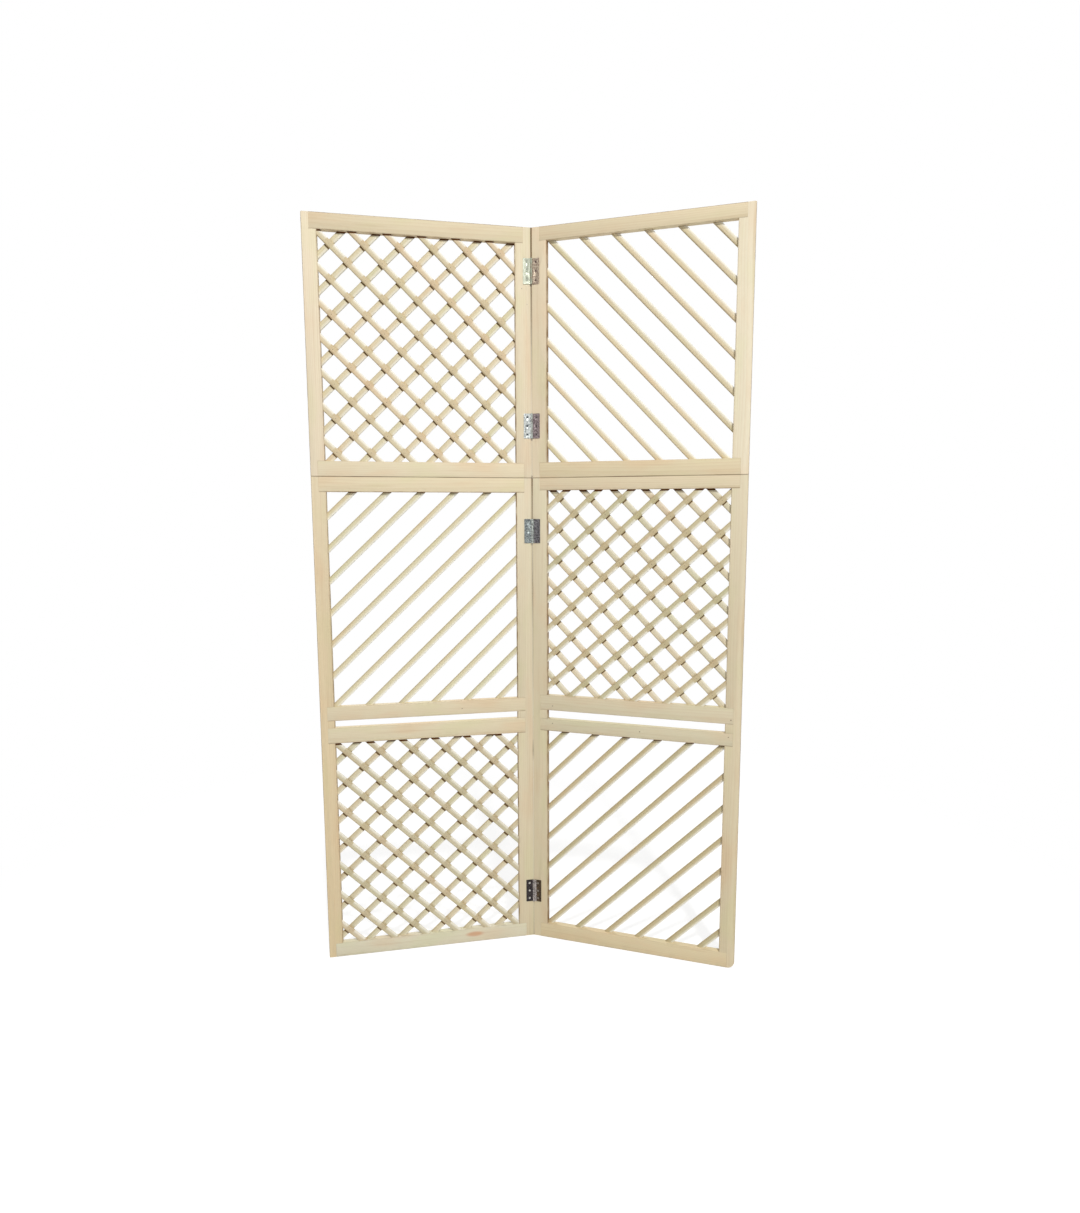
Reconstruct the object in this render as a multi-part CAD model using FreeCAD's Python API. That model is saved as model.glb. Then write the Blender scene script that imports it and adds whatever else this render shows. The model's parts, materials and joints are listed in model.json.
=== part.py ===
"""Two-leaf folding trellis screen in pale raw timber. Millimetres, +Z up.

The origin is on the floor, midway between the two outer ends and midway in depth.
+X runs to the right leaf and -Y is the front, the side that shows the hinges.
Each leaf is a short upper frame with one window, standing on a tall lower frame with two
windows and an open slot between them. Rail ends are lapped into the front of the stiles,
and diagonal strips fill the windows.
"""
import FreeCAD
import Part
import math
import os

Vec = FreeCAD.Vector
FRONT_TO_BACK = Vec(0, 1, 0)
UP = Vec(0, 0, 1)

# Whole screen. It was sawn by hand, so the two leaves aren't quite alike
leaf_width = {"left": 666.5, "right": 654.3}
upper_frame_height = 750.5
lower_frame_height = 1535.5
frame_thickness = 18.0
included_angle = 155.0
# How far a leaf's front edge reaches past the hinge pin, so that the leaves all but meet
edge_reach = 0.6

# Frame members of each leaf
hinge_stile_width = {"left": 50.5, "right": 49.0}
outer_stile_width = {"left": 42.0, "right": 47.5}
top_rail_height = {"left": 46.5, "right": 40.5}
upper_seam_rail_height = {"left": 45.5, "right": 47.5}
lower_seam_rail_height = {"left": 46.0, "right": 39.0}
slot_top_rail_height = {"left": 44.5, "right": 49.5}
slot_height = {"left": 23.5, "right": 29.0}
slot_bottom_rail_height = {"left": 49.0, "right": 40.0}
lower_window_height = {"left": 665.5, "right": 671.0}
bottom_rail_height = {"left": 45.0, "right": 48.0}
lap_width_share = 0.5
lap_depth_share = 0.5
corner_radius = 4.0
worn_corner_radius = 24.0

# Diagonal strips
strip_width = 18.0
strip_thickness = 7.0
strip_pitch = 70.7
strip_angle = 45.0
strip_recess = 2.0
shortest_strip = 60.0

# Brads at the crossings of the strips
brad_length = 12.0
brad_shank_radius = 0.8
brad_head_radius = 1.5
brad_head_depth = 0.8
brad_clearance = 0.05

# Nails driven from the back through each lapped corner
nail_length = 15.0
nail_shank_radius = 1.2
nail_head_radius = 2.6
nail_head_depth = 1.2
nail_clearance = 0.05
nail_spread_share = 0.25

# Dowels between the upper and the lower frame
dowel_radius = 4.0
dowel_length = 56.0
dowel_clearance = 0.1
dowel_end_room = 1.0
dowel_place_share = 0.3
dowel_end_chamfer = 0.8

# Butt hinges, screwed on the front of the hinge stiles
hinge_height = 76.0
hinge_half_width = 25.0
plate_thickness = 1.4
plate_corner_radius = 2.0
pin_radius = 1.6
pin_clearance = 0.05
pin_overhang = 1.2
pin_crown = 0.5
barrel_clearance = 0.3
knuckle_count = 5
knuckle_gap = 0.3
knuckle_side_room = 0.3
top_hinge_drop = 128.0
seam_hinge_rise = 160.0
seam_hinge_drop = 167.0
bottom_hinge_rise = 161.0

# Countersunk wood screws in the hinge plates
screw_length = 14.0
screw_shank_radius = 1.7
screw_head_radius = 3.4
screw_head_depth = 1.7
screw_clearance = 0.05
screw_tip_length = 4.0
screw_slot_width = 0.9
screw_slot_depth = 0.6
screw_count = 3
screw_spread_share = 0.35
screw_place_share = 0.55

# One overrun for every cut
overrun = 2.0

# Worked out from the sizes above
screen_height = upper_frame_height + lower_frame_height
seam_height = lower_frame_height
fold_half_angle = (180 - included_angle) / 2
barrel_radius = pin_radius + pin_clearance + plate_thickness
stand_off = barrel_radius + barrel_clearance
strip_front = stand_off + strip_recess
front_face = stand_off
back_face = stand_off + frame_thickness
lap_back = front_face + frame_thickness * lap_depth_share

SIDES = {"left": -1, "right": 1}
WINDOWS = ("upper", "middle", "lower")
UPPER_RAILS = ("top_rail", "upper_seam_rail")
LOWER_RAILS = ("lower_seam_rail", "slot_top_rail", "slot_bottom_rail", "bottom_rail")
HINGES = {
    "top_hinge": screen_height - top_hinge_drop,
    "upper_middle_hinge": seam_height + seam_hinge_rise,
    "lower_middle_hinge": seam_height - seam_hinge_drop,
    "bottom_hinge": bottom_hinge_rise,
}

# The layers of strips in each window: (node ending, layer, slope, lean in degrees).
# Layer 0 is the front one. Slope 1 rises to the right as the front shows it, -1 falls.
# The strips were set by hand, so each layer leans a little off its nominal angle.
LAYERS = {
    ("left", "upper"): [("front_strips", 0, -1, -0.25), ("rear_strips", 1, 1, 0.25)],
    ("left", "middle"): [("strips", 1, 1, -1.0)],
    ("left", "lower"): [("front_strips", 0, -1, -0.15), ("rear_strips", 1, 1, -2.4)],
    ("right", "upper"): [("strips", 1, -1, 1.55)],
    ("right", "middle"): [("front_strips", 0, 1, -1.7), ("rear_strips", 1, -1, 1.1)],
    ("right", "lower"): [("strips", 1, 1, 0.75)],
}
# How far each layer is shifted along its pitch, as shares of the pitch
shift_shares = {
    ("left", "upper"): (-0.082, -0.002),
    ("left", "middle"): (-0.078,),
    ("left", "lower"): (-0.025, -0.001),
    ("right", "upper"): (-0.02,),
    ("right", "middle"): (0.074, 0.044),
    ("right", "lower"): (-0.026,),
}
# Each window's own pitch, as a share of the nominal one
pitch_shares = {
    ("left", "upper"): 0.996,
    ("left", "middle"): 1.003,
    ("left", "lower"): 1.007,
    ("right", "upper"): 1.0,
    ("right", "middle"): 0.985,
    ("right", "lower"): 1.007,
}

# How far the screen is moved from its hinge pins, so that the origin is midway
fold = math.radians(fold_half_angle)
front_most = front_face * math.cos(fold) - (max(leaf_width.values()) - edge_reach) * math.sin(fold)
rear_most = back_face * math.cos(fold) + edge_reach * math.sin(fold)
pin_place = Vec(
    (leaf_width["left"] - leaf_width["right"]) * math.cos(fold) / 2,
    -(front_most + rear_most) / 2,
    0,
)

nodes = {}


def add(name, *solids):
    """Keeps solids, which are in their final place, under a node name."""
    nodes.setdefault(name, []).extend(solids)


def block(x_range, y_range, z_range):
    """An upright box between pairs of limits, given in either order."""
    lows = [min(pair) for pair in (x_range, y_range, z_range)]
    sizes = [abs(pair[1] - pair[0]) for pair in (x_range, y_range, z_range)]
    return Part.makeBox(*sizes, Vec(*lows))


def rod(radius, length, start, direction):
    """A cylinder from a start point along a direction."""
    return Part.makeCylinder(radius, length, start, direction)


def into_place(shape, side):
    """Turns a flat leaf about the hinge pin to its standing angle."""
    placed = shape.copy()
    placed.rotate(Vec(0, 0, 0), UP, -SIDES[side] * fold_half_angle)
    placed.translate(pin_place)
    return placed


def across(side, distance):
    """The x of a point that lies a distance from the hinge edge of a flat leaf."""
    return SIDES[side] * (distance - edge_reach)


def headed_pin(start, direction, length, shank, head, head_depth, extra=0.0):
    """A flat-headed nail whose head starts at start. extra widens and lengthens it into a hole."""
    shank_rod = rod(shank + extra, length + extra, start, direction)
    head_rod = rod(head + extra, head_depth, start, direction)
    return shank_rod.fuse(head_rod).removeSplitter()


# Where the members of each leaf lie

def leaf_levels(side):
    """Heights of a leaf's rails and openings, each as (lowest, highest)."""
    foot_up = {
        "bottom_rail": bottom_rail_height[side],
        "lower": lower_window_height[side],
        "slot_bottom_rail": slot_bottom_rail_height[side],
        "slot": slot_height[side],
        "slot_top_rail": slot_top_rail_height[side],
    }
    levels = {}
    height = 0
    for name, size in foot_up.items():
        levels[name] = (height, height + size)
        height += size
    levels["middle"] = (height, seam_height - lower_seam_rail_height[side])
    levels["lower_seam_rail"] = (levels["middle"][1], seam_height)
    levels["upper_seam_rail"] = (seam_height, seam_height + upper_seam_rail_height[side])
    levels["upper"] = (levels["upper_seam_rail"][1], screen_height - top_rail_height[side])
    levels["top_rail"] = (levels["upper"][1], screen_height)
    return levels


LEVELS = {side: leaf_levels(side) for side in SIDES}
window_width = {
    side: leaf_width[side] - hinge_stile_width[side] - outer_stile_width[side] for side in SIDES
}
tallest_window = max(
    LEVELS[side][name][1] - LEVELS[side][name][0] for side in SIDES for name in WINDOWS
)


# Frame members

def lap_depths():
    """The depth limits of the tongue of a rail."""
    return (front_face, lap_back)


def stile_edges(side, which):
    """Distances of a stile's two edges from the hinge edge, inner edge towards the window first."""
    if which == "hinge":
        return (hinge_stile_width[side], 0)
    return (leaf_width[side] - outer_stile_width[side], leaf_width[side])


def tongue_range(side, which):
    """Distances between which a rail's tongue lies in a stile."""
    inner, outer = stile_edges(side, which)
    return (inner, inner + (outer - inner) * lap_width_share)


def nail_places(side, which, rail):
    """Distances and heights of the two nails of a lapped corner, set on a slant."""
    near, far = tongue_range(side, which)
    low, high = rail
    middle = ((near + far) / 2, (low + high) / 2)
    step = ((far - near) * nail_spread_share, (high - low) * nail_spread_share)
    return [(middle[0] + way * step[0], middle[1] + way * step[1]) for way in (-1, 1)]


def corner_nail(side, place, extra=0.0):
    """A nail from the back face into a lapped corner, or its hole."""
    start = Vec(across(side, place[0]), back_face, place[1])
    return headed_pin(
        start, -FRONT_TO_BACK, nail_length, nail_shank_radius,
        nail_head_radius, nail_head_depth, extra,
    )


def corner_holes(side, which, rails):
    """The nail holes of one stile's lapped corners."""
    places = [place for rail in rails for place in nail_places(side, which, rail)]
    return [corner_nail(side, place, nail_clearance) for place in places]


def rounded_corner(side, height, way, radius):
    """What a rounding takes off a leaf's outer corner. way is 1 at the top and -1 at the foot."""
    depth = (front_face - overrun, back_face + overrun)
    centre_x = across(side, leaf_width[side] - radius)
    centre_z = height - way * radius
    far_x = across(side, leaf_width[side] + overrun)
    square = block((centre_x, far_x), depth, (centre_z, height + way * overrun))
    round_part = rod(
        radius, depth[1] - depth[0], Vec(centre_x, depth[0], centre_z), FRONT_TO_BACK
    )
    return square.cut(round_part)


def stile(side, which, limits, rails, trims=(), holes=()):
    """One upright, with a notch in its front for the tongue of each rail."""
    inner, outer = stile_edges(side, which)
    body = block((across(side, inner), across(side, outer)), (front_face, back_face), limits)
    reach = tongue_range(side, which)
    cutters = list(trims) + list(holes) + corner_holes(side, which, rails)
    for rail in rails:
        cutters.append(
            block((across(side, reach[0]), across(side, reach[1])), lap_depths(), rail)
        )
    return body.cut(cutters)


def window_middle(side):
    """Distance of the middle of a leaf's windows from the hinge edge."""
    return hinge_stile_width[side] + window_width[side] / 2


def dowel_distances(side):
    """Distances of the dowels from the hinge edge."""
    spread = window_width[side] * dowel_place_share
    return [window_middle(side) + way * spread for way in (-1, 1)]


def dowel(side, distance, extra=0.0, end_room=0.0):
    """A dowel through the seam between the frames, or its hole."""
    centre_y = (front_face + back_face) / 2
    length = dowel_length + 2 * end_room
    start = Vec(across(side, distance), centre_y, seam_height - length / 2)
    peg = rod(dowel_radius + extra, length, start, UP)
    if extra:
        return peg
    ends = [edge for edge in peg.Edges if isinstance(edge.Curve, Part.Circle)]
    return peg.makeChamfer(dowel_end_chamfer, ends)


def rail(side, limits, with_dowels):
    """One cross rail with a tongue at each end."""
    inner = stile_edges(side, "hinge")[0]
    outer = stile_edges(side, "outer")[0]
    body = block((across(side, inner), across(side, outer)), (front_face, back_face), limits)
    cutters = []
    for which in ("hinge", "outer"):
        reach = tongue_range(side, which)
        tongue = block((across(side, reach[0]), across(side, reach[1])), lap_depths(), limits)
        body = body.fuse(tongue)
        cutters += [
            corner_nail(side, place, nail_clearance)
            for place in nail_places(side, which, limits)
        ]
    if with_dowels:
        cutters += [
            dowel(side, distance, dowel_clearance, dowel_end_room)
            for distance in dowel_distances(side)
        ]
    return body.removeSplitter().cut(cutters)


def hinge_screw_holes(side, limits):
    """The holes for the hinge screws between two heights of a hinge stile."""
    return [
        hinge_screw(side, height, screw_clearance)
        for centre in HINGES.values() if limits[0] < centre < limits[1]
        for height in screw_heights(centre)
    ]


def build_frame(side):
    """The two stacked frames of a leaf, with their dowels and nails."""
    frames = (
        ("upper", (seam_height, screen_height), UPPER_RAILS),
        ("lower", (0, seam_height), LOWER_RAILS),
    )
    for frame_name, limits, rails in frames:
        levels = [LEVELS[side][rail_name] for rail_name in rails]
        if frame_name == "upper":
            trim = rounded_corner(side, screen_height, 1, corner_radius)
        else:
            foot_radius = worn_corner_radius if side == "right" else corner_radius
            trim = rounded_corner(side, 0, -1, foot_radius)
        outer = stile(side, "outer", limits, levels, trims=[trim])
        inner = stile(side, "hinge", limits, levels, holes=hinge_screw_holes(side, limits))
        add(f"{side}_{frame_name}_outer_stile", into_place(outer, side))
        add(f"{side}_{frame_name}_hinge_stile", into_place(inner, side))
        for rail_name, level in zip(rails, levels):
            made = rail(side, level, with_dowels="seam" in rail_name)
            add(f"{side}_{rail_name}", into_place(made, side))
            for which in ("hinge", "outer"):
                for place in nail_places(side, which, level):
                    add(f"{side}_corner_nails", into_place(corner_nail(side, place), side))
    for distance in dowel_distances(side):
        add(f"{side}_joining_dowels", into_place(dowel(side, distance), side))


# Diagonal strips

def layers_of(side, name):
    """A window's layers, each with its node ending, depth layer, direction and offsets."""
    pitch = strip_pitch * pitch_shares[(side, name)]
    layers = []
    for row, shift in zip(LAYERS[(side, name)], shift_shares[(side, name)]):
        ending, layer, slope, lean = row
        tilt = slope * (strip_angle + lean)
        layers.append((ending, layer, tilt, kept_offsets(side, name, tilt, shift, pitch)))
    return layers


def along(tilt):
    """The direction of a strip in its window, as x and z."""
    return (math.cos(math.radians(tilt)), math.sin(math.radians(tilt)))


def square_to(tilt):
    """The direction square to a strip in its window, as x and z."""
    return (-math.sin(math.radians(tilt)), math.cos(math.radians(tilt)))


def half_window(side, name):
    """Half the width and half the height of a window."""
    low, high = LEVELS[side][name]
    return (window_width[side] / 2, (high - low) / 2)


def strip_length(offset, tilt, halves):
    """How long a strip's centre line is inside a window of these half sizes."""
    start, end = -math.inf, math.inf
    for step, side_step, half in zip(along(tilt), square_to(tilt), halves):
        place = side_step * offset
        ends = sorted(((-half - place) / step, (half - place) / step))
        start, end = max(start, ends[0]), min(end, ends[1])
    return end - start


def kept_offsets(side, name, tilt, shift, pitch):
    """Distances of the strips from the window's middle, without those too short to fix."""
    halves = half_window(side, name)
    count = math.ceil(sum(halves) / pitch) + 1
    offsets = [(step + 1 / 2 + shift) * pitch for step in range(-count, count)]
    return [offset for offset in offsets if strip_length(offset, tilt, halves) > shortest_strip]


def strip_layer(layer):
    """The depth limits of a layer of strips."""
    return (strip_front + layer * strip_thickness, strip_front + (layer + 1) * strip_thickness)


def window_box(side, name, layer):
    """The space in a window that a layer of strips may fill."""
    edges = [across(side, stile_edges(side, which)[0]) for which in ("hinge", "outer")]
    return block(edges, strip_layer(layer), LEVELS[side][name])


def window_centre(side, name):
    """The middle of a window, as x and z."""
    low, high = LEVELS[side][name]
    return (across(side, window_middle(side)), (low + high) / 2)


def strip(side, name, layer, tilt, offset):
    """One strip, cut to its window."""
    centre_x, centre_z = window_centre(side, name)
    half_length = window_width[side] + tallest_window
    bar = block(
        (-half_length, half_length), strip_layer(layer), (-strip_width / 2, strip_width / 2)
    )
    bar.rotate(Vec(0, 0, 0), FRONT_TO_BACK, -tilt)
    step_x, step_z = square_to(tilt)
    bar.translate(Vec(centre_x + step_x * offset, 0, centre_z + step_z * offset))
    return bar.common(window_box(side, name, layer))


def crossings(first, second, halves):
    """Where two layers cross inside a window: x and z from its middle, and both offsets."""
    clear_x, clear_z = [half - strip_width / 2 for half in halves]
    one, two = square_to(first[2]), square_to(second[2])
    spread = one[0] * two[1] - one[1] * two[0]
    found = []
    for offset in first[3]:
        for other in second[3]:
            x = (offset * two[1] - other * one[1]) / spread
            z = (other * one[0] - offset * two[0]) / spread
            if abs(x) < clear_x and abs(z) < clear_z:
                found.append((x, z, offset, other))
    return found


def brad(x, z, extra=0.0):
    """A brad through a crossing, or its hole."""
    return headed_pin(
        Vec(x, strip_front, z), FRONT_TO_BACK, brad_length, brad_shank_radius,
        brad_head_radius, brad_head_depth, extra,
    )


def build_window(side, name):
    """The strips of one window, and the brads where they cross."""
    layers = layers_of(side, name)
    centre_x, centre_z = window_centre(side, name)
    crossed = crossings(layers[0], layers[1], half_window(side, name)) if len(layers) > 1 else []
    for number, (ending, layer, tilt, offsets) in enumerate(layers):
        for offset in offsets:
            made = strip(side, name, layer, tilt, offset)
            holes = [
                brad(centre_x + place[0], centre_z + place[1], brad_clearance)
                for place in crossed if place[2 + number] == offset
            ]
            if holes:
                made = made.cut(holes)
            add(f"{side}_{name}_{ending}", into_place(made, side))
    for x, z, _, _ in crossed:
        add(f"{side}_{name}_brads", into_place(brad(centre_x + x, centre_z + z), side))


# Hinges

def screw_heights(centre):
    """Heights of the screws of a hinge plate."""
    spread = hinge_height * screw_spread_share
    middle = (screw_count - 1) / 2
    return [centre + (number - middle) / middle * spread for number in range(screw_count)]


def screw_profile(extra):
    """Half the outline of a countersunk screw, as points of radius and depth."""
    shank = screw_shank_radius + extra
    head = screw_head_radius + extra
    tip = 0 if not extra else shank
    return [
        (0, 0), (head, 0), (shank, screw_head_depth),
        (shank, screw_length - screw_tip_length), (tip, screw_length + extra),
        (0, screw_length + extra),
    ]


def hinge_screw(side, height, extra=0.0):
    """A countersunk screw through a hinge plate into its stile, or its hole."""
    front = stand_off - plate_thickness
    points = [Vec(radius, depth, 0) for radius, depth in screw_profile(extra)]
    outline = [point for number, point in enumerate(points) if point != points[number - 1]]
    face = Part.Face(Part.makePolygon(outline + outline[:1]))
    turned = face.revolve(Vec(0, 0, 0), FRONT_TO_BACK, 360)
    if not extra:
        turned = turned.cut(block(
            (-screw_head_radius, screw_head_radius), (0, screw_slot_depth),
            (-screw_slot_width / 2, screw_slot_width / 2),
        ))
    turned.translate(Vec(SIDES[side] * hinge_half_width * screw_place_share, front, height))
    return turned


def knuckles(side, centre):
    """Height limits of the knuckles on one plate. The left plate has the odd ones."""
    pitch = hinge_height / knuckle_count
    low = centre - hinge_height / 2
    first = 0 if side == "left" else 1
    limits = []
    for number in range(first, knuckle_count, 2):
        start = low + number * pitch + (knuckle_gap / 2 if number else 0)
        end = low + (number + 1) * pitch - (knuckle_gap / 2 if number < knuckle_count - 1 else 0)
        limits.append((start, end))
    return limits


def hinge_plate(side, centre):
    """One flat plate of a butt hinge with its knuckles rolled round the pin."""
    depth = (stand_off - plate_thickness, stand_off)
    half = hinge_height / 2
    inner_depth = barrel_radius - plate_thickness
    clear = math.sqrt((barrel_radius + knuckle_side_room) ** 2 - inner_depth ** 2)
    edge = SIDES[side] * clear
    far = SIDES[side] * hinge_half_width
    body = block((edge, far), depth, (centre - half, centre + half))
    corners = [
        line for line in body.Edges
        if all(abs(vertex.X - far) < overrun for vertex in line.Vertexes)
        and all(abs(vertex.Z - line.Vertexes[0].Z) < overrun for vertex in line.Vertexes)
    ]
    body = body.makeFillet(plate_corner_radius, corners)
    for low, high in knuckles(side, centre):
        body = body.fuse(block((0, edge), depth, (low, high)))
        body = body.fuse(rod(barrel_radius, high - low, Vec(0, 0, low), UP))
    bore = rod(
        pin_radius + pin_clearance, hinge_height + 2 * overrun,
        Vec(0, 0, centre - half - overrun), UP,
    )
    holes = [hinge_screw(side, height, screw_clearance) for height in screw_heights(centre)]
    return body.removeSplitter().cut([bore] + holes)


def hinge_pin(centre):
    """The pin of a hinge, crowned at both ends."""
    half = hinge_height / 2 + pin_overhang
    pin = rod(pin_radius, 2 * half, Vec(0, 0, centre - half), UP)
    ends = [edge for edge in pin.Edges if isinstance(edge.Curve, Part.Circle)]
    return pin.makeFillet(pin_crown, ends)


def build_hinges():
    """The four hinges, with their screws."""
    for name, centre in HINGES.items():
        for side in SIDES:
            add(f"{name}_{side}_plate", into_place(hinge_plate(side, centre), side))
            for height in screw_heights(centre):
                add(f"{side}_hinge_screws", into_place(hinge_screw(side, height), side))
        add(f"{name}_pin", into_place(hinge_pin(centre), "left"))


for leaf in SIDES:
    build_frame(leaf)
    for window_name in WINDOWS:
        build_window(leaf, window_name)
build_hinges()

os.makedirs("parts", exist_ok=True)
whole = FreeCAD.BoundBox()
for node, shapes in nodes.items():
    solids = [solid for shape in shapes for solid in shape.Solids]
    bad = [solid for solid in solids if not solid.isValid() or solid.Volume <= 0]
    shape = solids[0] if len(solids) == 1 else Part.makeCompound(solids)
    shape.exportStep(f"parts/{node}.step")
    whole.add(shape.BoundBox)
    print(node, "solids", len(solids), "not valid", len(bad))
print("nodes", len(nodes))
print("lowest", whole.XMin, whole.YMin, whole.ZMin)
print("highest", whole.XMax, whole.YMax, whole.ZMax)
print("pin axis at", pin_place.x, pin_place.y)
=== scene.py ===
# %% [markdown]
# # A folding trellis screen of two tall leaves
#
# The real screen is joined from raw softwood. Each leaf is a short upper frame standing on a
# tall lower one. Thin laths fill the windows on the slant, and four steel butt hinges let the
# leaves fold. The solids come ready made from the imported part. This file dresses them: it
# rounds the sharp arrises a little, makes the laths, nails and screws with Geometry Nodes,
# and gives every piece a wood or a metal of its own.

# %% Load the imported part
import json
import math

import bmesh
import bpy
import numpy as np
from mathutils import Matrix, Vector

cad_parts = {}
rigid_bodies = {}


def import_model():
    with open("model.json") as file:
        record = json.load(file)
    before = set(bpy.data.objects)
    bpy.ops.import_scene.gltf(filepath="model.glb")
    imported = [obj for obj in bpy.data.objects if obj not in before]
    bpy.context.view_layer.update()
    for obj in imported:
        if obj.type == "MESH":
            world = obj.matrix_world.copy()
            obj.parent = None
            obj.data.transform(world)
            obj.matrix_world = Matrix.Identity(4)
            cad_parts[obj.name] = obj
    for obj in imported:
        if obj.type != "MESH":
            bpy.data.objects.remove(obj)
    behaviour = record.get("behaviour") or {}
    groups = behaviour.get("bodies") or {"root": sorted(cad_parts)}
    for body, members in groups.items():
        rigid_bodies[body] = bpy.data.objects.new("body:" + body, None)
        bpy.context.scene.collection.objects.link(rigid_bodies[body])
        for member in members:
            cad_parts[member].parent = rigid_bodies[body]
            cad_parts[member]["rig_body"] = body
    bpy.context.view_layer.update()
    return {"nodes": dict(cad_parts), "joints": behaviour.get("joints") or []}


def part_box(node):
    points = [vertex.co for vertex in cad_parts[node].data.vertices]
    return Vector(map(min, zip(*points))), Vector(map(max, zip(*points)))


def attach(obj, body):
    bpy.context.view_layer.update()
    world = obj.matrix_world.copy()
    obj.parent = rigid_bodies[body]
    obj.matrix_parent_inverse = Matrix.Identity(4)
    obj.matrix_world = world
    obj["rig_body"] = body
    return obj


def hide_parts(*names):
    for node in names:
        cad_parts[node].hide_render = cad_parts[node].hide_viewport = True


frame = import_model()
MM = 0.001

# %% [markdown]
# ## Where the two leaves stand
#
# The leaves stand at 155 degrees, so each one is turned by 12.5 degrees about the hinge pins.
# Everything on a leaf is easier to make while the leaf lies square to the axes, so a piece is
# made on the flat leaf and its mesh is turned into place at the end. The same turn, read
# backwards, lets us measure the part's own solids on the flat leaf.

# %% Turn from the flat leaf to the standing one
SIDES = {"left": -1, "right": 1}
STANDING_TURN = math.radians(12.5)
PIN_PLACE = Vector(frame["joints"][0]["pos_m"])


def side_of(node):
    """The leaf that a node of the part belongs to."""
    on_left = node.startswith("left") or "_left_" in node or node.endswith("_pin")
    return "left" if on_left else "right"


def standing(side):
    """The matrix that takes a flat leaf to where it stands."""
    return Matrix.Translation(PIN_PLACE) @ Matrix.Rotation(-SIDES[side] * STANDING_TURN, 4, "Z")


def body_of(node):
    """The body of the part that a node moves with."""
    return frame["nodes"][node]["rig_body"]


print("pin at", tuple(round(value, 4) for value in PIN_PLACE))

# %% [markdown]
# ## Measuring the part's solids
#
# A node such as a layer of laths holds twelve separate solids in one mesh of loose triangles.
# To find each lath, a copy of the mesh is merged and then split into its connected islands.
# Measuring them here, instead of typing their places again, keeps the dressed pieces exactly
# where the part has its solids.

# %% Split a node into its solids
MERGE_DISTANCE = 0.01 * MM


def merged_copy(node):
    """The node's mesh with its doubled corners joined, laid on the flat leaf."""
    work = bmesh.new()
    work.from_mesh(frame["nodes"][node].data)
    bmesh.ops.remove_doubles(work, verts=work.verts, dist=MERGE_DISTANCE)
    bmesh.ops.transform(work, matrix=standing(side_of(node)).inverted(), verts=work.verts)
    return work


def solids_of(node):
    """The solids of a node, each with its corners and its edges as arrays of points."""
    work = merged_copy(node)
    seen, found = set(), []
    for start in work.verts:
        if start in seen:
            continue
        island, edge_set = [start], set()
        seen.add(start)
        for vert in island:
            for edge in vert.link_edges:
                edge_set.add(edge)
                other = edge.other_vert(vert)
                if other not in seen:
                    seen.add(other)
                    island.append(other)
        corners = np.array([vert.co[:] for vert in island])
        lines = np.array([[vert.co[:] for vert in edge.verts] for edge in edge_set])
        found.append((corners, lines))
    work.free()
    return found


def flat_box(node):
    """The lowest and highest corner of a node on the flat leaf."""
    corners = np.concatenate([solid[0] for solid in solids_of(node)])
    return corners.min(0), corners.max(0)


lath_nodes = sorted(name for name in frame["nodes"] if name.endswith("strips"))
print("layers of laths:", {name: len(solids_of(name)) for name in lath_nodes})

# %% [markdown]
# ## A small bench for building node trees
#
# Shader and geometry trees are both made of nodes and wires. `Bench.node` adds any node: its
# settings go in first, because they decide which sockets exist, and then its values or wires.
# `Wire` wraps one output and overloads the signs of arithmetic, so that `1 - mask * 0.5` in
# Python adds the two Math nodes that it needs. That keeps a long material readable.

# %% Wires and the bench


class Wire:
    """One output of a node. Sums written with it add Math nodes; their signs come below."""

    def __init__(self, bench, socket):
        self.bench = bench
        self.socket = socket

    def maths(self, operation, *values):
        inputs = dict(enumerate(values))
        return self.bench.node("ShaderNodeMath", {"operation": operation}, inputs)

    def other(self, name):
        """Another output of the same node."""
        return Wire(self.bench, self.bench.find(self.socket.node.outputs, name))

    def __abs__(self):
        return self.maths("ABSOLUTE", self)

    def floor(self):
        return self.maths("FLOOR", self)

    def fraction(self):
        return self.maths("FRACT", self)

    def root(self):
        return self.maths("SQRT", self)

    def rise(self, low, high):
        """0 below low, 1 above high and a smooth step between them."""
        return self.bench.node("ShaderNodeMapRange", {"interpolation_type": "SMOOTHSTEP"}, {
            "Value": self, "From Min": low, "From Max": high,
        })


def add_sign(sign, operation):
    """Lets a sign of arithmetic stand between a wire and a value, either way round."""
    setattr(Wire, f"__{sign}__", lambda wire, value: wire.maths(operation, wire, value))
    setattr(Wire, f"__r{sign}__", lambda wire, value: wire.maths(operation, value, wire))


for sign, operation in zip(("add", "sub", "mul", "truediv"), ("ADD", "SUBTRACT", "MULTIPLY", "DIVIDE")):
    add_sign(sign, operation)


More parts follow.
